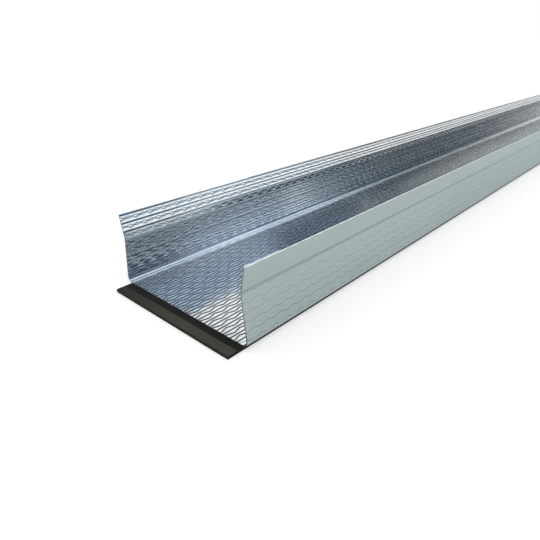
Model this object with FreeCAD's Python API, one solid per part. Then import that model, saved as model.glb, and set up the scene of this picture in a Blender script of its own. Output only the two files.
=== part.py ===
import FreeCAD, Part
import math
import os

# Steel track for a wall of 70 mm studs, with a sealing strip under its web.
# X runs across the track, Y along it and Z up; the floor is at Z = 0.
# All sizes are in millimetres and degrees.

# Stock sizes
stud_width = 70.0
sheet = 0.5
track_length = 2500.0
outer_width = stud_width + 2.0 * sheet

# Side walls: a lower flange that leans in and a lip that flares out
flange_height = 20.0
lip_height = 10.0
flange_lean = 6.5
lip_flare = 10.0
corner_inner_radius = 2.0
crease_inner_radius = 0.8

# Sealing strip
strip_thickness = 1.5
strip_width = 67.0
strip_end_overhang = 7.0
strip_edge_round = 0.25

# Heights above the floor
web_underside = strip_thickness
crease_level = web_underside + flange_height
top_level = crease_level + lip_height

# The origin is the middle of the whole length, so both pieces end at the same far plane
overall_length = track_length + strip_end_overhang
near_strip_end = -overall_length / 2.0
near_steel_end = near_strip_end + strip_end_overhang
selection_tolerance = 0.01


def leaning_x(x_start, rise, angle):
    """x of a point that is rise above x_start on a line leaning by angle from upright."""
    return x_start + rise * math.tan(math.radians(angle))


def outer_side():
    """Corner points of the outer face of the right wall, from the web up, as (x, z)."""
    # The bend is the widest place, so the sharp corner lies a little outside it
    outer_radius = corner_inner_radius + sheet
    half_turn = math.radians((90.0 + flange_lean) / 2.0)
    corner = (outer_width / 2.0 + outer_radius * (math.tan(half_turn) - 1.0), web_underside)
    crease = (leaning_x(corner[0], flange_height, -flange_lean), crease_level)
    lip_top = (leaning_x(crease[0], lip_height, lip_flare), top_level)
    return [corner, crease, lip_top]


def inner_side(outer):
    """The same corner points one sheet thickness inward."""
    lean = math.radians(flange_lean)
    flare = math.radians(lip_flare)
    floor_level = web_underside + sheet
    # Lines of the inner faces, written as x = x_at_crease_level + slope * (z - crease_level)
    flange_x = outer[1][0] - sheet / math.cos(lean)
    lip_x = outer[1][0] - sheet / math.cos(flare)
    flange_slope = -math.tan(lean)
    lip_slope = math.tan(flare)
    crease_rise = (flange_x - lip_x) / (lip_slope - flange_slope)
    corner = (flange_x + flange_slope * (floor_level - crease_level), floor_level)
    crease = (flange_x + flange_slope * crease_rise, crease_level + crease_rise)
    lip_top = (lip_x + lip_slope * lip_height, top_level)
    return [corner, crease, lip_top]


def mirrored(points):
    """The points of the right wall carried over to the left wall."""
    return [(-x, z) for x, z in points]


def edges_along_track(solid, points):
    """Long edges of the solid that pass through the given (x, z) points."""
    found = []
    for edge in solid.Edges:
        start = edge.Vertexes[0].Point
        end = edge.Vertexes[-1].Point
        if abs(end.y - start.y) < sheet:
            continue
        for x, z in points:
            near_x = abs(start.x - x) < selection_tolerance
            near_z = abs(start.z - z) < selection_tolerance
            if near_x and near_z:
                found.append(edge)
    return found


def rounded(solid, points, radius):
    """The solid with its long edges at the given points and at their mirror images rounded."""
    return solid.makeFillet(radius, edges_along_track(solid, points + mirrored(points)))


def make_track():
    """The roll-formed channel: web, two leaning flanges and two flared lips."""
    outer = outer_side()
    inner = inner_side(outer)
    section = outer + inner[::-1] + mirrored(inner) + mirrored(outer)[::-1]
    corners = [FreeCAD.Vector(x, near_steel_end, z) for x, z in section]
    face = Part.Face(Part.makePolygon(corners + corners[:1]))
    solid = face.extrude(FreeCAD.Vector(0, track_length, 0))
    solid = rounded(solid, [outer[0]], corner_inner_radius + sheet)
    solid = rounded(solid, [inner[0]], corner_inner_radius)
    solid = rounded(solid, [outer[1]], crease_inner_radius)
    return rounded(solid, [inner[1]], crease_inner_radius + sheet)


def make_sealing_strip():
    """The flat strip under the web, longer than the steel at the near end."""
    corner = FreeCAD.Vector(-strip_width / 2.0, near_strip_end, 0.0)
    strip = Part.makeBox(strip_width, overall_length, strip_thickness, corner)
    half = strip_width / 2.0
    return rounded(strip, [(half, 0.0), (half, strip_thickness)], strip_edge_round)


os.makedirs("parts", exist_ok=True)
make_track().exportStep("parts/track.step")
make_sealing_strip().exportStep("parts/sealing_strip.step")
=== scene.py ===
import math

import bmesh
import bpy
import numpy as np
from mathutils import Matrix, Vector


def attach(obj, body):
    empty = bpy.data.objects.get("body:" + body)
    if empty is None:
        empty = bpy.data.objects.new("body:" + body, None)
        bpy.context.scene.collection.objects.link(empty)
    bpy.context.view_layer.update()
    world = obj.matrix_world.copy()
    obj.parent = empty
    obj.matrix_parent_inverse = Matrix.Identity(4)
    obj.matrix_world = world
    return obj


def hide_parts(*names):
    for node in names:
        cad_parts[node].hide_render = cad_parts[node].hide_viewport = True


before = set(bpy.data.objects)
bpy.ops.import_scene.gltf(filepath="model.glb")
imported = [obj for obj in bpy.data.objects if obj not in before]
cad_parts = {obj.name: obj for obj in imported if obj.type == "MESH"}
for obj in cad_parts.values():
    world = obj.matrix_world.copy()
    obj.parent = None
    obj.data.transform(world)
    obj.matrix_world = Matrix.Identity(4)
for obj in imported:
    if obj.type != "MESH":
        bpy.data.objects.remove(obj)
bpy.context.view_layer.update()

MM = 0.001

# Section of the rolled channel, the same sizes as the solid has (mm)
SHEET = 0.5
HALF_OUTER = 35.5
WEB_UNDERSIDE = 1.5
FLANGE_HEIGHT = 20.0
LIP_HEIGHT = 10.0
LEAN = math.radians(6.5)
FLARE = math.radians(10.0)
INNER_BEND = 2.0
OUTER_BEND = INNER_BEND + SHEET
TRACK_LENGTH = 2500.0
STRIP_OVERHANG = 7.0
NEAR_END = -(TRACK_LENGTH + STRIP_OVERHANG) / 2.0 + STRIP_OVERHANG

# Embossed rows (mm): low zigzag grooves in the inner face, each one against its neighbours.
# Rows are numbered over the sheet: 1 to 5 on the right flange, 0 to -2 on its lip, 7 to 24 on the
# web, and 26 to 33 up the left wall, where odd rows start towards row 0 and even rows away from it.
ROW_PITCH = 3.40
FIRST_FLANGE_ROW = 2.85
FIRST_LIP_ROW = 1.10
FIRST_OUTER_ROW = 3.65
CREASE_ROW = 0.5 * (FIRST_LIP_ROW + ROW_PITCH - FIRST_FLANGE_ROW) / ROW_PITCH
FLANGE_ROWS = 5
LIP_ROWS = 3
WEB_ROWS = range(24, 6, -1)
MIDDLE_ROW = 15.5
HALF_WAVES = 735
ZIGZAG = 0.50
GROOVE_HALF = 0.42
GROOVE_DEPTH = 0.18
INNER_BEND_STEPS = 5
OUTER_BEND_STEPS = 4
OUTER_WALL_LINES = 2

# Where the sheet's parts are for the materials, in rows: the bends on both sides of MIDDLE_ROW
# and the row at which the lip starts
BEND_OFFSET = 10.0
BEND_HALF = 0.45
LIP_START_ROW = 0.28

# Fine marks that are shading: half widths and shift in rows, slopes as rise over run
LINE_HALF = 0.12
LINE_SLOPE = 0.4
GROOVE_SHADE_HALF = 0.14
GROOVE_SHADE_SHIFT = 0.07
OUTER_LINE_HALF = 0.13
OUTER_GROOVE_HALF = 0.17
LIP_BOW = 0.08
STEEPEST = 2.6

# Studio: how bright the floor glows to background rays, the world's level where it only lights,
# and how far away the first reflection card stands and how far each next one is behind it (m)
FLOOR_GLOW = 0.38
LIGHTING_LEVEL = 0.8
CARD_DISTANCE = 14.0
CARD_STEP = 0.4

# Camera: focal length and picture width in pixels, yaw, pitch and roll in degrees, and its place
# from the near end of the web's underside, to the right, along the track and up (mm)
FOCAL_LENGTH = 458.676
PICTURE_WIDTH = 540.0
SENSOR_WIDTH = 36.0
CAMERA_TURN = (-42.6756, 26.6300, -0.3621)
CAMERA_PLACE = (124.6528, -85.5915, 90.9482)

# How a line joins the strips before and after it
SHARP, ROUND, AS_BEFORE, AS_AFTER = 0, 1, 2, 3


def unit(vector):
    return vector / np.linalg.norm(vector)


class Wall:
    """One face of the right wall, walked by distance below the crease, negative on the lip."""

    def __init__(self, inner):
        sharp = HALF_OUTER + OUTER_BEND * (math.tan(math.pi / 4 + LEAN / 2) - 1.0)
        corner = np.array([sharp, WEB_UNDERSIDE])
        crease = corner + FLANGE_HEIGHT * np.array([-math.tan(LEAN), 1.0])
        top = crease + LIP_HEIGHT * np.array([math.tan(FLARE), 1.0])
        if inner:
            flange_x = crease[0] - SHEET / math.cos(LEAN)
            lip_x = crease[0] - SHEET / math.cos(FLARE)
            rise = (flange_x - lip_x) / (math.tan(FLARE) + math.tan(LEAN))
            drop = WEB_UNDERSIDE + SHEET - crease[1]
            top = np.array([lip_x + math.tan(FLARE) * LIP_HEIGHT, top[1]])
            corner = np.array([flange_x - math.tan(LEAN) * drop, WEB_UNDERSIDE + SHEET])
            crease = np.array([flange_x - math.tan(LEAN) * rise, crease[1] + rise])
        self.corner, self.crease = corner, crease
        self.down, self.up = unit(corner - crease), unit(top - crease)
        away = 1.0 if inner else -1.0
        self.flange_normal = away * np.array([self.down[1], -self.down[0]])
        self.lip_normal = away * np.array([-self.up[1], self.up[0]])
        self.radius = INNER_BEND if inner else OUTER_BEND
        self.tangent = self.radius * math.tan(math.pi / 4 + LEAN / 2)
        self.flange_end = np.linalg.norm(corner - crease) - self.tangent
        self.lip_end = np.linalg.norm(top - crease)

    def point(self, below, lift=0.0):
        """Points of the section, in mm, at arrays of distances and one lift off the face."""
        below = below[:, None]
        flange = self.crease + below * self.down + lift * self.flange_normal
        lip = self.crease - below * self.up + lift * self.lip_normal
        return np.where(below > 0.0, flange, lip)

    def bend_point(self, turn):
        """Point on the bend, turn being 0 at the flange and 1 at the web."""
        centre = np.array([self.corner[0] - self.tangent, self.corner[1] + self.radius])
        angle = LEAN * (1.0 - turn) - turn * math.pi / 2
        return centre + self.radius * np.array([math.cos(angle), math.sin(angle)])


def inner_row(below):
    """Row numbers at distances below the crease, whole numbers along the middles of the rows."""
    on_lip = (below + FIRST_LIP_ROW) / ROW_PITCH
    on_flange = 1.0 + (below - FIRST_FLANGE_ROW) / ROW_PITCH
    return np.where(below < 0.0, on_lip, on_flange)


def outer_row(below):
    """The same for the marks that show on the outer face, where they cross the crease."""
    return 1.0 + (below - FIRST_OUTER_ROW) / ROW_PITCH


class Section:
    """Lines along the track, walked round the sheet's section."""

    def __init__(self):
        self.flat = np.zeros(HALF_WAVES + 1)
        self.wave = np.where(np.arange(HALF_WAVES + 1) % 2 == 0, 1.0, -1.0)
        self.lines, self.rows, self.joints = [], [], []

    def add(self, points, row, joint=SHARP):
        """A line of points, their row numbers, and how it joins its neighbours."""
        self.lines.append(points)
        self.rows.append(row + self.flat)
        self.joints.append(joint)

    def swing(self, row):
        return ZIGZAG * self.wave * (1.0 if row % 2 == 0 else -1.0)

    def wall_row(self, wall, row, centre):
        """One zigzag groove in a wall, from its lower edge to its upper one."""
        for offset, lift in ((GROOVE_HALF, 0.0), (0.0, -GROOVE_DEPTH), (-GROOVE_HALF, 0.0)):
            joint = ROUND if lift else SHARP
            below = centre + self.swing(row) + offset
            self.add(wall.point(below, lift), inner_row(below), joint)

    def inner_wall(self, wall):
        """The embossed lines of the right wall above its bend, up to the lip's top."""
        for row in range(FLANGE_ROWS, 0, -1):
            self.wall_row(wall, row, FIRST_FLANGE_ROW + (row - 1) * ROW_PITCH)
        self.add(wall.point(self.flat), CREASE_ROW)
        for row in range(LIP_ROWS):
            self.wall_row(wall, -row, -FIRST_LIP_ROW - row * ROW_PITCH)
        self.add(wall.point(self.flat - wall.lip_end), inner_row(-wall.lip_end))

    def bend(self, wall, steps, row_number):
        """The bend from the flange to the web, with both lines where it starts and ends."""
        flange_row = row_number(wall.flange_end)
        web_row = MIDDLE_ROW - wall.bend_point(1.0)[0] / ROW_PITCH
        for step in range(steps + 1):
            turn = step / steps
            joint = AS_BEFORE if step == 0 else AS_AFTER if step == steps else ROUND
            points = np.tile(wall.bend_point(turn), (len(self.flat), 1))
            self.add(points, flange_row + turn * (web_row - flange_row), joint)

    def web(self):
        """The embossed lines of the web's inner face, from left to right."""
        level = WEB_UNDERSIDE + SHEET
        for row in WEB_ROWS:
            centre = (MIDDLE_ROW - row) * ROW_PITCH
            for offset, lift in ((-GROOVE_HALF, 0.0), (0.0, -GROOVE_DEPTH), (GROOVE_HALF, 0.0)):
                x = centre - self.swing(row) + offset
                points = np.stack([x, self.flat + level + lift], axis=1)
                self.add(points, MIDDLE_ROW - x / ROW_PITCH, ROUND if lift else SHARP)

    def outer_wall(self, wall):
        """The plain lines of the right wall's outer face, from the lip's top down to its bend."""
        self.add(wall.point(self.flat - wall.lip_end), outer_row(-wall.lip_end))
        self.add(wall.point(self.flat), outer_row(0.0))

    def append(self, other, backwards=False, mirrored=False):
        """Another section's lines put after these."""
        order = range(len(other.lines))
        swapped = {AS_BEFORE: AS_AFTER, AS_AFTER: AS_BEFORE}
        for index in reversed(order) if backwards else order:
            joint = other.joints[index]
            if backwards:
                joint = swapped.get(joint, joint)
            line = other.lines[index] * np.array([-1.0 if mirrored else 1.0, 1.0])
            row = 2 * MIDDLE_ROW - other.rows[index] if mirrored else other.rows[index]
            self.add(line, row, joint)


def sheet_section():
    """All lines of the sheet: inner face from left lip to right lip, then the outer face back."""
    inner, outer = Wall(True), Wall(False)
    inner_bend, inner_side, web = Section(), Section(), Section()
    inner_bend.bend(inner, INNER_BEND_STEPS, inner_row)
    inner_side.inner_wall(inner)
    web.web()
    outer_side = Section()
    outer_side.outer_wall(outer)
    outer_side.bend(outer, OUTER_BEND_STEPS, outer_row)

    whole = Section()
    whole.append(inner_side, backwards=True, mirrored=True)
    whole.append(inner_bend, mirrored=True)
    whole.append(web)
    whole.append(inner_bend, backwards=True)
    whole.append(inner_side)
    whole.append(outer_side)
    whole.append(outer_side, backwards=True, mirrored=True)
    return whole


def embossed_track():
    """The rolled sheet as one closed mesh with the embossed rows in its inner face."""
    section = sheet_section()
    columns = len(section.lines)
    places = np.stack(section.lines)
    along = NEAR_END + np.linspace(0.0, TRACK_LENGTH, HALF_WAVES + 1)

    bm = bmesh.new()
    bmesh.ops.create_grid(bm, x_segments=columns, y_segments=HALF_WAVES, size=1.0)
    column_of = bm.verts.layers.int.new("column")
    strip_of = bm.faces.layers.int.new("strip")
    station_of = bm.faces.layers.int.new("station")
    pattern = bm.loops.layers.uv.new("sheet")
    grid = {}
    for vert in bm.verts:
        column = round((vert.co.x + 1.0) / 2.0 * columns)
        grid[vert] = (column, round((vert.co.y + 1.0) / 2.0 * HALF_WAVES))
    first_outer = columns - 2 * (OUTER_WALL_LINES + OUTER_BEND_STEPS + 1)
    for face in bm.faces:
        corners = [grid[vert] for vert in face.verts]
        face[strip_of] = min(corner[0] for corner in corners)
        face[station_of] = min(corner[1] for corner in corners)
        face.smooth = True
        face.material_index = 1 if first_outer <= face[strip_of] < columns - 1 else 0
        for loop, (column, station) in zip(face.loops, corners):
            loop[pattern].uv = (station, section.rows[column % columns][station])
    for vert, (column, station) in grid.items():
        x, z = places[column % columns, station]
        vert.co = Vector((x, along[station], z)) * MM
        vert[column_of] = column
    bmesh.ops.remove_doubles(bm, verts=bm.verts[:], dist=1e-7)
    ends = [edge for edge in bm.edges if edge.is_boundary]
    for sign in (-1.0, 1.0):
        rim = [edge for edge in ends if edge.verts[0].co.y * sign > 0.0]
        for cap in bmesh.ops.contextual_create(bm, geom=rim)["faces"]:
            cap[strip_of] = -1
            cap.smooth = False
            cap.material_index = 2
    bmesh.ops.recalc_face_normals(bm, faces=bm.faces[:])
    mesh = bpy.data.meshes.new("embossed_track")
    bm.to_mesh(mesh)
    bm.free()
    shade(mesh, section.joints)
    piece = bpy.data.objects.new("embossed_track", mesh)
    bpy.context.scene.collection.objects.link(piece)
    return piece


def read(collection, name, kind, width=1):
    """One value of every item of a mesh collection, as an array."""
    values = np.zeros(len(collection) * width, dtype=kind)
    collection.foreach_get(name, values)
    return values.reshape(-1, width) if width > 1 else values


def shade(mesh, joints):
    """Own normals: true on the flats, round in the grooves and in the bends."""
    columns = len(joints)
    points = read(mesh.vertices, "co", np.float64, 3)
    loop_vert = read(mesh.loops, "vertex_index", np.int32)
    start = read(mesh.polygons, "loop_start", np.int32)
    total = read(mesh.polygons, "loop_total", np.int32)
    face_normal = read(mesh.polygons, "normal", np.float64, 3)
    strip = read(mesh.attributes["strip"].data, "value", np.int32)
    station = read(mesh.attributes["station"].data, "value", np.int32)
    column = read(mesh.attributes["column"].data, "value", np.int32)

    normals = np.repeat(face_normal, total, axis=0)
    quads = np.where(strip >= 0)[0]
    corner = start[quads][:, None] + np.arange(4)
    at = points[loop_vert[corner]]
    own = np.cross(np.roll(at, -1, axis=1) - at, np.roll(at, 1, axis=1) - at)
    own /= np.linalg.norm(own, axis=2)[:, :, None]
    # Which of its strip's two lines each corner is on, and which end of its station
    line = column[loop_vert[corner]] % columns
    last = (strip[quads][:, None] == columns - 1) & (line == 0)
    side = np.where(last, columns, line) - strip[quads][:, None]
    end = (at[:, :, 1] > at[:, :, 1].mean(axis=1)[:, None]).astype(int)
    which = (np.broadcast_to(strip[quads][:, None], line.shape),
             np.broadcast_to(station[quads][:, None], line.shape), side, end)
    table = np.zeros((columns, HALF_WAVES, 2, 2, 3))
    table[which] = own
    for index, joint in enumerate(joints):
        before, after = table[index - 1, :, 1], table[index, :, 0]
        if joint == ROUND:
            mean = before + after
            mean = mean / np.linalg.norm(mean, axis=-1)[..., None]
            table[index - 1, :, 1] = mean
            table[index, :, 0] = mean
        elif joint == AS_BEFORE:
            table[index, :, 0] = before
        elif joint == AS_AFTER:
            table[index - 1, :, 1] = after
    normals[corner.ravel()] = table[which].reshape(-1, 3)
    mesh.normals_split_custom_set([tuple(n) for n in normals])


# Node helpers


class Nodes:
    """A material's node tree with short calls to add and join nodes."""

    def __init__(self, name):
        self.material = bpy.data.materials.new(name)
        self.material.use_nodes = True
        self.tree = self.material.node_tree
        self.shader = self.tree.nodes["Principled BSDF"]

    def add(self, kind, inputs=None, **settings):
        node = self.tree.nodes.new(kind)
        for key, value in settings.items():
            setattr(node, key, value)
        for key, value in (inputs or {}).items():
            if isinstance(value, bpy.types.NodeSocket):
                self.tree.links.new(value, node.inputs[key])
            else:
                node.inputs[key].default_value = value
        return node

    def math(self, operation, first, second=0.0):
        return self.add("ShaderNodeMath", {0: first, 1: second}, operation=operation).outputs[0]

    def ramp(self, factor, stops):
        node = self.add("ShaderNodeValToRGB", {"Fac": factor})
        elements = node.color_ramp.elements
        while len(elements) < len(stops):
            elements.new(0.5)
        for element, (position, colour) in zip(elements, stops):
            element.position = position
            element.color = (*colour, 1.0)
        return node.outputs["Color"]

    def blend(self, factor, first, second):
        """Two colours mixed; the colour sockets of a Mix node are its seventh and eighth."""
        mix = self.add("ShaderNodeMix", {0: factor, 6: first, 7: second}, data_type="RGBA")
        return mix.outputs[2]

    def spread(self, value, low, high):
        node = self.add("ShaderNodeMapRange", {"Value": value, "To Min": low, "To Max": high})
        return node.outputs["Result"]


def row_place(n):
    """Half waves along the track and row number across the sheet, from the sheet's own map."""
    sheet_map = n.add("ShaderNodeUVMap", uv_map="sheet").outputs["UV"]
    parts = n.add("ShaderNodeSeparateXYZ", {"Vector": sheet_map})
    return parts.outputs["X"], parts.outputs["Y"]


def line_dip(n, distance, half_width):
    """1 on a line, falling smoothly to 0 at half_width from it."""
    dip = n.add("ShaderNodeMapRange", {"Value": distance, "From Max": half_width, "To Min": 1.0,
                                       "To Max": 0.0}, interpolation_type="SMOOTHSTEP")
    return dip.outputs["Result"]


def off_zigzag(n, along, row):
    """Signed distance, in rows, from the nearest zigzag line."""
    nearest = n.math("ROUND", row)
    odd = n.math("PINGPONG", nearest, 1.0)
    turn = n.math("SUBTRACT", 1.0, n.math("MULTIPLY", odd, 2.0))
    wave = n.math("SUBTRACT", 1.0, n.math("MULTIPLY", n.math("PINGPONG", along, 1.0), 2.0))
    side = n.math("SIGN", n.math("SUBTRACT", MIDDLE_ROW + BEND_OFFSET, row))
    swing = n.math("MULTIPLY", n.math("MULTIPLY", turn, side), wave)
    swing = n.math("MULTIPLY", swing, ZIGZAG / ROW_PITCH)
    return n.math("SUBTRACT", n.math("SUBTRACT", row, nearest), swing)


def line_tilt(n, off_line, half_width, slope):
    """Slope of a rounded groove at a signed distance from its line, 0 beyond half_width.

    STEEPEST brings the curve's steepest place to the given slope.
    """
    part = n.math("DIVIDE", off_line, half_width)
    inside = n.math("MAXIMUM", n.math("SUBTRACT", 1.0, n.math("MULTIPLY", part, part)), 0.0)
    return n.math("MULTIPLY", n.math("MULTIPLY", part, inside), -STEEPEST * slope)


def tilted(n, across):
    """The sheet's own normal, tilted across the rows by a slope."""
    half = n.math("MULTIPLY", across, 0.5)
    colour = n.add("ShaderNodeCombineXYZ", {"X": 0.5, "Y": n.math("ADD", half, 0.5), "Z": 1.0})
    tangent_map = n.add("ShaderNodeNormalMap", {"Color": colour.outputs[0]}, uv_map="sheet")
    return tangent_map.outputs["Normal"]


def off_bends(n, row):
    """1 on the flat faces and 0 in the two bends."""
    from_middle = n.math("ABSOLUTE", n.math("SUBTRACT", row, MIDDLE_ROW))
    from_bend = n.math("ABSOLUTE", n.math("SUBTRACT", from_middle, BEND_OFFSET))
    return n.math("GREATER_THAN", from_bend, BEND_HALF)


def bright_zinc():
    """Inner face: bright zinc with a cool cast, straight rolled lines between the rows, and painted
    shade in its lines and grooves.
    """
    n = Nodes("bright_zinc")
    place = n.add("ShaderNodeTexCoord").outputs["Object"]
    cloud = n.add("ShaderNodeTexNoise", {"Vector": place, "Scale": 35.0, "Detail": 4.0}).outputs[0]
    dents = n.add("ShaderNodeTexNoise", {"Vector": place, "Scale": 420.0, "Detail": 2.0})
    grain = n.add("ShaderNodeTexNoise", {"Vector": place, "Scale": 1500.0, "Detail": 3.0})
    colour = n.ramp(cloud, [(0.3, (0.83, 0.87, 0.89)), (0.7, (0.89, 0.92, 0.93))])
    n.shader.inputs["Metallic"].default_value = 1.0

    along, row = row_place(n)
    from_middle = n.math("SUBTRACT", row, MIDDLE_ROW)
    to_side = n.math("ABSOLUTE", from_middle)
    on_lip = n.math("GREATER_THAN", to_side, MIDDLE_ROW - LIP_START_ROW)
    off_web = n.math("GREATER_THAN", to_side, BEND_OFFSET + BEND_HALF)

    off_line = n.add("ShaderNodeMath", {0: n.math("ADD", row, 0.5), 1: 0.5, 2: -0.5},
                     operation="WRAP").outputs[0]
    line = line_tilt(n, off_line, LINE_HALF, LINE_SLOPE)
    line = n.math("MULTIPLY", line, off_bends(n, row))
    # The lips bow a little outward, which shows as a few degrees of extra flare
    bow = n.math("MULTIPLY", n.math("SIGN", from_middle), LIP_BOW)
    line = n.math("ADD", line, n.math("MULTIPLY", on_lip, bow))

    # The web is a little duller than the walls
    gloss = n.math("ADD", n.spread(grain.outputs[0], 0.05, 0.11), n.spread(off_web, 0.06, 0.0))
    n.tree.links.new(gloss, n.shader.inputs["Roughness"])

    # Painted shade: the lines and grooves are darker in the colour, though the flanges' grooves
    # less than the others
    zigzag = n.math("SUBTRACT", off_zigzag(n, along, row), GROOVE_SHADE_SHIFT)
    zigzag = line_dip(n, n.math("ABSOLUTE", zigzag), GROOVE_SHADE_HALF)
    on_flange = n.math("SUBTRACT", off_web, on_lip)
    painted_groove_shade = n.math("MAXIMUM", line_dip(n, n.math("ABSOLUTE", off_line), LINE_HALF),
                  n.math("MULTIPLY", zigzag, n.spread(on_flange, 0.8, 0.5)))
    painted_groove_shade = n.math("MULTIPLY", painted_groove_shade, off_bends(n, row))
    colour = n.blend(n.math("MULTIPLY", painted_groove_shade, 0.8), colour, (0.08, 0.09, 0.09, 1.0))
    n.tree.links.new(colour, n.shader.inputs["Base Color"])
    bump = n.add("ShaderNodeBump", {
        "Height": dents.outputs[0], "Strength": 1.0, "Distance": 0.00001,
        "Normal": tilted(n, line),
    })
    n.tree.links.new(bump.outputs["Normal"], n.shader.inputs["Normal"])
    return n.material


def dull_zinc_with_painted_light():
    """Outer face: greyer zinc, dulled by its passivation, its colour also darkened as painted
    shade, with faint marks of the rows.
    """
    n = Nodes("dull_zinc_with_painted_light")
    place = n.add("ShaderNodeTexCoord").outputs["Object"]
    cloud = n.add("ShaderNodeTexNoise", {"Vector": place, "Scale": 30.0, "Detail": 4.0}).outputs[0]
    grain = n.add("ShaderNodeTexNoise", {"Vector": place, "Scale": 1100.0, "Detail": 3.0})
    along, row = row_place(n)
    zigzag = line_dip(n, n.math("ABSOLUTE", off_zigzag(n, along, row)), OUTER_GROOVE_HALF)
    line = line_dip(n, n.math("PINGPONG", n.math("ADD", row, 0.5), 0.5), OUTER_LINE_HALF)
    mark = n.math("MAXIMUM", zigzag, n.math("MULTIPLY", line, 0.4))
    # Both walls count their rows from the lip, so one set of numbers shades both
    from_middle = n.math("ABSOLUTE", n.math("SUBTRACT", row, MIDDLE_ROW))
    wall_row = n.math("SUBTRACT", MIDDLE_ROW, from_middle)
    strength = n.add("ShaderNodeMapRange", {
        "Value": wall_row, "From Min": -1.0, "From Max": 4.5, "To Min": 0.35, "To Max": 1.0,
    }).outputs["Result"]
    mark = n.math("MULTIPLY", n.math("MULTIPLY", mark, off_bends(n, row)), strength)
    # Painted shade in the colour: the marks, a dark line just above the crease, and darker towards
    # the bottom
    crease = line_dip(n, n.math("ABSOLUTE", n.math("ADD", wall_row, 0.22)), 0.32)
    low = n.add("ShaderNodeMapRange", {"Value": wall_row, "From Min": 1.0, "From Max": 6.0})
    shade = n.math("ADD", n.math("MULTIPLY", mark, 0.55), n.math("MULTIPLY", crease, 0.65))
    shade = n.math("ADD", shade, n.math("MULTIPLY", low.outputs["Result"], 0.22))

    # A darker base than the inner face, partly painted shade
    base = n.ramp(cloud, [(0.3, (0.395, 0.465, 0.462)), (0.7, (0.425, 0.495, 0.488))])
    colour_with_painted_light = n.blend(shade, base, (0.235, 0.285, 0.290, 1.0))
    # Painted highlight along the lip's cut edge, as bare bright metal in the colour, wider at every
    # other end of a half wave
    lip_top_row = outer_row(-Wall(inner=False).lip_end)
    rim_width = n.spread(n.math("PINGPONG", along, 1.0), 0.07, 0.16)
    rim = n.math("LESS_THAN", n.math("SUBTRACT", wall_row, lip_top_row), rim_width)
    colour_with_painted_light = n.blend(rim, colour_with_painted_light, (0.86, 0.89, 0.90, 1.0))
    n.tree.links.new(colour_with_painted_light, n.shader.inputs["Base Color"])
    n.tree.links.new(n.spread(grain.outputs[0], 0.42, 0.55), n.shader.inputs["Roughness"])
    n.shader.inputs["Metallic"].default_value = 1.0
    height = n.math("ADD", mark, n.math("MULTIPLY", grain.outputs[0], 0.2))
    bump = n.add("ShaderNodeBump", {"Height": height, "Strength": 1.0, "Distance": 0.00005})
    n.tree.links.new(bump.outputs["Normal"], n.shader.inputs["Normal"])
    return n.material


def cut_steel():
    """Sheared ends of the sheet: dark grey steel with fine shear marks."""
    n = Nodes("cut_steel")
    place = n.add("ShaderNodeTexCoord").outputs["Object"]
    shear = n.add("ShaderNodeTexNoise", {"Vector": place, "Scale": 2500.0, "Detail": 3.0})
    marks = shear.outputs[0]
    colour = n.ramp(marks, [(0.3, (0.12, 0.13, 0.145)), (0.7, (0.24, 0.255, 0.275))])
    n.tree.links.new(colour, n.shader.inputs["Base Color"])
    n.tree.links.new(n.spread(marks, 0.35, 0.50), n.shader.inputs["Roughness"])
    n.shader.inputs["Metallic"].default_value = 1.0
    bump = n.add("ShaderNodeBump", {"Height": marks, "Strength": 0.4, "Distance": 0.00005})
    n.tree.links.new(bump.outputs["Normal"], n.shader.inputs["Normal"])
    return n.material


def cellular_rubber():
    """Matt black closed-cell rubber, with a painted sheen on the top face at the free near end, so
    the cut sides look darker.
    """
    n = Nodes("cellular_rubber")
    coordinates = n.add("ShaderNodeTexCoord")
    place = coordinates.outputs["Object"]
    cells = n.add("ShaderNodeTexNoise", {"Vector": place, "Scale": 700.0, "Detail": 4.0}).outputs[0]
    cloud = n.add("ShaderNodeTexNoise", {"Vector": place, "Scale": 60.0, "Detail": 3.0}).outputs[0]
    rubber = n.ramp(cloud, [(0.3, (0.010, 0.010, 0.009)), (0.7, (0.016, 0.016, 0.014))])
    parts = n.add("ShaderNodeSeparateXYZ", {"Vector": place})
    # Painted sheen: the top face of the free near end is lightened away from the steel, more
    # towards the right
    rim = n.add("ShaderNodeMapRange", {
        "Value": parts.outputs["Y"], "From Min": (NEAR_END - 3.4) * MM,
        "From Max": (NEAR_END - 2.6) * MM, "To Min": 1.0, "To Max": 0.0,
    }, interpolation_type="SMOOTHSTEP").outputs["Result"]
    facing = n.add("ShaderNodeSeparateXYZ", {"Vector": coordinates.outputs["Normal"]})
    top = n.math("GREATER_THAN", facing.outputs["Z"], 0.5)
    side = n.add("ShaderNodeMapRange", {
        "Value": parts.outputs["X"], "From Min": -HALF_OUTER * MM, "From Max": 0.0, "To Min": 0.25,
    }).outputs["Result"]
    painted_sheen = n.math("MULTIPLY", n.math("MULTIPLY", rim, top), side)
    painted_sheen = n.math("MULTIPLY", painted_sheen, n.spread(cloud, 0.75, 1.0))
    colour = n.blend(painted_sheen, rubber, (0.066, 0.066, 0.052, 1.0))
    n.tree.links.new(colour, n.shader.inputs["Base Color"])
    n.tree.links.new(n.spread(cells, 0.6, 0.8), n.shader.inputs["Roughness"])
    n.shader.inputs["Specular IOR Level"].default_value = 0.15
    bump = n.add("ShaderNodeBump", {"Height": cells, "Strength": 0.3, "Distance": 0.0003})
    n.tree.links.new(bump.outputs["Normal"], n.shader.inputs["Normal"])
    return n.material


track = embossed_track()
track.data.materials.append(bright_zinc())
track.data.materials.append(dull_zinc_with_painted_light())
track.data.materials.append(cut_steel())
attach(track, "root")
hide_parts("track")

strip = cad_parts["sealing_strip"]
strip.data.materials.clear()
strip.data.materials.append(cellular_rubber())


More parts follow.
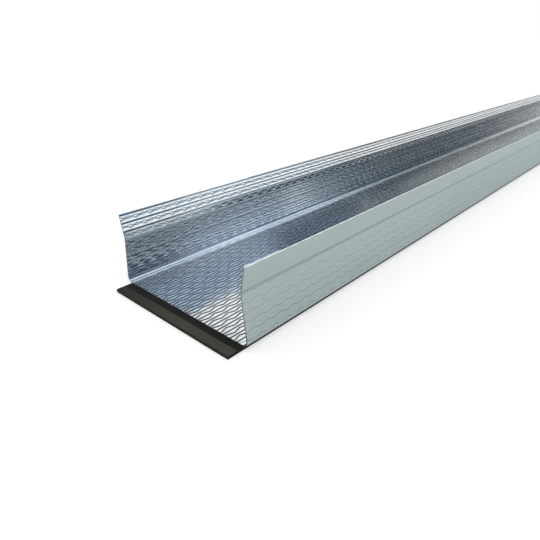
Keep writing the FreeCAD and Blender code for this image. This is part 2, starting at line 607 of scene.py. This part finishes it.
def background_rays(tree):
    """1 for the rays that show the background: camera, glossy and transmission rays."""
    path = tree.nodes.new("ShaderNodeLightPath")
    level = path.outputs["Is Camera Ray"]
    for kind in ("Is Glossy Ray", "Is Transmission Ray"):
        either = tree.nodes.new("ShaderNodeMath")
        either.operation = "MAXIMUM"
        tree.links.new(level, either.inputs[0])
        tree.links.new(path.outputs[kind], either.inputs[1])
        level = either.outputs[0]
    return level


def plane(name, size):
    """A flat stage piece of a width and height."""
    bm = bmesh.new()
    bmesh.ops.create_grid(bm, x_segments=1, y_segments=1, size=0.5)
    bmesh.ops.scale(bm, vec=(size[0], size[1], 1.0), verts=bm.verts[:])
    mesh = bpy.data.meshes.new(name)
    bm.to_mesh(mesh)
    bm.free()
    piece = bpy.data.objects.new(name, mesh)
    bpy.context.scene.collection.objects.link(piece)
    return piece


def make_floor():
    """A plain white floor under the strip, which keeps the track's soft shadow."""
    floor = plane("floor", (30.0, 30.0))
    n = Nodes("floor_white")
    n.shader.inputs["Base Color"].default_value = (0.80, 0.80, 0.80, 1.0)
    n.shader.inputs["Roughness"].default_value = 0.9
    n.shader.inputs["Specular IOR Level"].default_value = 0.0
    n.shader.inputs["Emission Color"].default_value = (1.0, 1.0, 1.0, 1.0)
    glow = n.math("MULTIPLY", background_rays(n.tree), FLOOR_GLOW)
    n.tree.links.new(glow, n.shader.inputs["Emission Strength"])
    floor.data.materials.append(n.material)


def make_world():
    """An even white studio, a little lower where it only lights."""
    world = bpy.data.worlds.new("studio")
    bpy.context.scene.world = world
    world.use_nodes = True
    tree = world.node_tree
    background = tree.nodes["Background"]
    background.inputs["Color"].default_value = (1.0, 1.0, 1.0, 1.0)
    level = tree.nodes.new("ShaderNodeMapRange")
    level.inputs["To Min"].default_value = LIGHTING_LEVEL
    level.inputs["To Max"].default_value = 1.0
    tree.links.new(background_rays(tree), level.inputs["Value"])
    tree.links.new(level.outputs["Result"], background.inputs["Strength"])


def as_card(card, colour):
    """A studio card or panel that only the steel's reflections see."""
    n = Nodes(card.name)
    n.shader.inputs["Base Color"].default_value = (0.0, 0.0, 0.0, 1.0)
    n.shader.inputs["Specular IOR Level"].default_value = 0.0
    n.shader.inputs["Emission Color"].default_value = (*colour, 1.0)
    n.shader.inputs["Emission Strength"].default_value = 1.0
    card.data.materials.append(n.material)
    card.visible_camera = False
    card.visible_diffuse = False
    card.visible_shadow = False


def standing_card(name, azimuth, elevation, colour, distance):
    """A card facing the near end, from one side and height to another.

    Azimuth runs from the track's direction towards its right side.
    """
    turn = math.radians(sum(azimuth) / 2.0)
    rise = math.radians(sum(elevation) / 2.0)
    width = 2.0 * distance * math.tan(math.radians(azimuth[1] - azimuth[0]) / 2.0)
    height = 2.0 * distance * math.tan(math.radians(elevation[1] - elevation[0]) / 2.0)
    card = plane(name, (width * math.cos(rise), height))
    towards = Vector((math.sin(turn) * math.cos(rise), math.cos(turn) * math.cos(rise),
                      math.sin(rise)))
    card.location = Vector((0.0, NEAR_END * MM, 0.0)) + distance * towards
    card.rotation_euler = (-towards).to_track_quat("Z", "Y").to_euler()
    as_card(card, colour)


def ceiling_panel(name, across, along, height, colour):
    """A panel overhead, with its two ranges measured from the middle of the near end."""
    panel = plane(name, (across[1] - across[0], along[1] - along[0]))
    panel.location = (sum(across) / 2.0, sum(along) / 2.0 + NEAR_END * MM, height)
    as_card(panel, colour)


def left_panel(name, distance, along, height, colour):
    """An upright panel on the left, parallel to the track."""
    panel = plane(name, (height[1] - height[0], along[1] - along[0]))
    panel.location = (-distance, sum(along) / 2.0 + NEAR_END * MM, sum(height) / 2.0)
    panel.rotation_euler = (0.0, math.radians(90.0), 0.0)
    as_card(panel, colour)


def soft_lamp(name, place, aim, size, power, colour):
    """A rectangular lamp at a place, turned towards its aim."""
    light = bpy.data.lights.new(name, "AREA")
    light.shape = "RECTANGLE"
    light.size, light.size_y = size
    light.energy = power
    light.color = colour
    lamp = bpy.data.objects.new(name, light)
    lamp.location = place
    direction = Vector(aim) - Vector(place)
    lamp.rotation_euler = direction.to_track_quat("-Z", "Y").to_euler()
    bpy.context.scene.collection.objects.link(lamp)


def make_camera():
    """Seen from the near right, a little above, as in the photograph."""
    yaw, pitch, roll = (math.radians(angle) for angle in CAMERA_TURN)
    across, along, above = CAMERA_PLACE
    forward = Vector((math.sin(yaw) * math.cos(pitch), math.cos(yaw) * math.cos(pitch),
                      -math.sin(pitch)))
    right = Vector((math.cos(yaw), -math.sin(yaw), 0.0))
    up = right.cross(forward)
    right, up = (math.cos(roll) * right + math.sin(roll) * up,
                 -math.sin(roll) * right + math.cos(roll) * up)
    data = bpy.data.cameras.new("camera")
    data.sensor_width = SENSOR_WIDTH
    data.lens = FOCAL_LENGTH / PICTURE_WIDTH * SENSOR_WIDTH
    data.clip_start, data.clip_end = 0.01, 100.0
    camera = bpy.data.objects.new("camera", data)
    turn = Matrix((right, up, -forward)).transposed()
    place = Vector((across, NEAR_END + along, WEB_UNDERSIDE + above)) * MM
    camera.matrix_world = Matrix.Translation(place) @ turn.to_4x4()
    bpy.context.scene.collection.objects.link(camera)
    bpy.context.scene.camera = camera


make_floor()
make_world()
make_camera()
soft_lamp("key", (1.2, -1.6, 2.2), (0.0, -1.0, 0.0), (1.5, 1.5), 8.0, (1.0, 1.0, 1.0))
ceiling_panel("bright_panel", (4.4, 7.8), (6.4, 13.8), 7.0, (1.15, 1.42, 1.70))
ceiling_panel("inner_panel", (2.2, 5.2), (2.2, 7.0), 7.0, (0.62, 0.78, 0.95))
ceiling_panel("strip_light", (0.12, 0.34), (-1.0, 12.5), 1.2, (1.0, 1.0, 1.0))
left_panel("left_dark_panel", 9.0, (8.5, 30.0), (0.8, 6.9), (0.03, 0.05, 0.08))
cards = [
    ("low_blue_card", (44.0, 88.0), (7.0, 22.0), (0.60, 0.76, 0.96)),
    ("blue_card", (33.0, 45.0), (10.0, 22.0), (0.03, 0.06, 0.15)),
    ("navy_card", (33.0, 88.0), (21.0, 55.0), (0.015, 0.035, 0.09)),
    ("dark_card_ahead", (-37.0, 7.0), (4.0, 55.0), (0.045, 0.060, 0.080)),
    ("dark_card_right", (6.0, 35.0), (10.0, 55.0), (0.045, 0.060, 0.080)),
    ("dark_card_above", (-88.0, 88.0), (49.0, 80.0), (0.015, 0.030, 0.060)),
]
for index, (name, azimuth, elevation, colour) in enumerate(cards):
    standing_card(name, azimuth, elevation, colour, CARD_DISTANCE + CARD_STEP * index)
bpy.context.scene.view_settings.view_transform = "Standard"
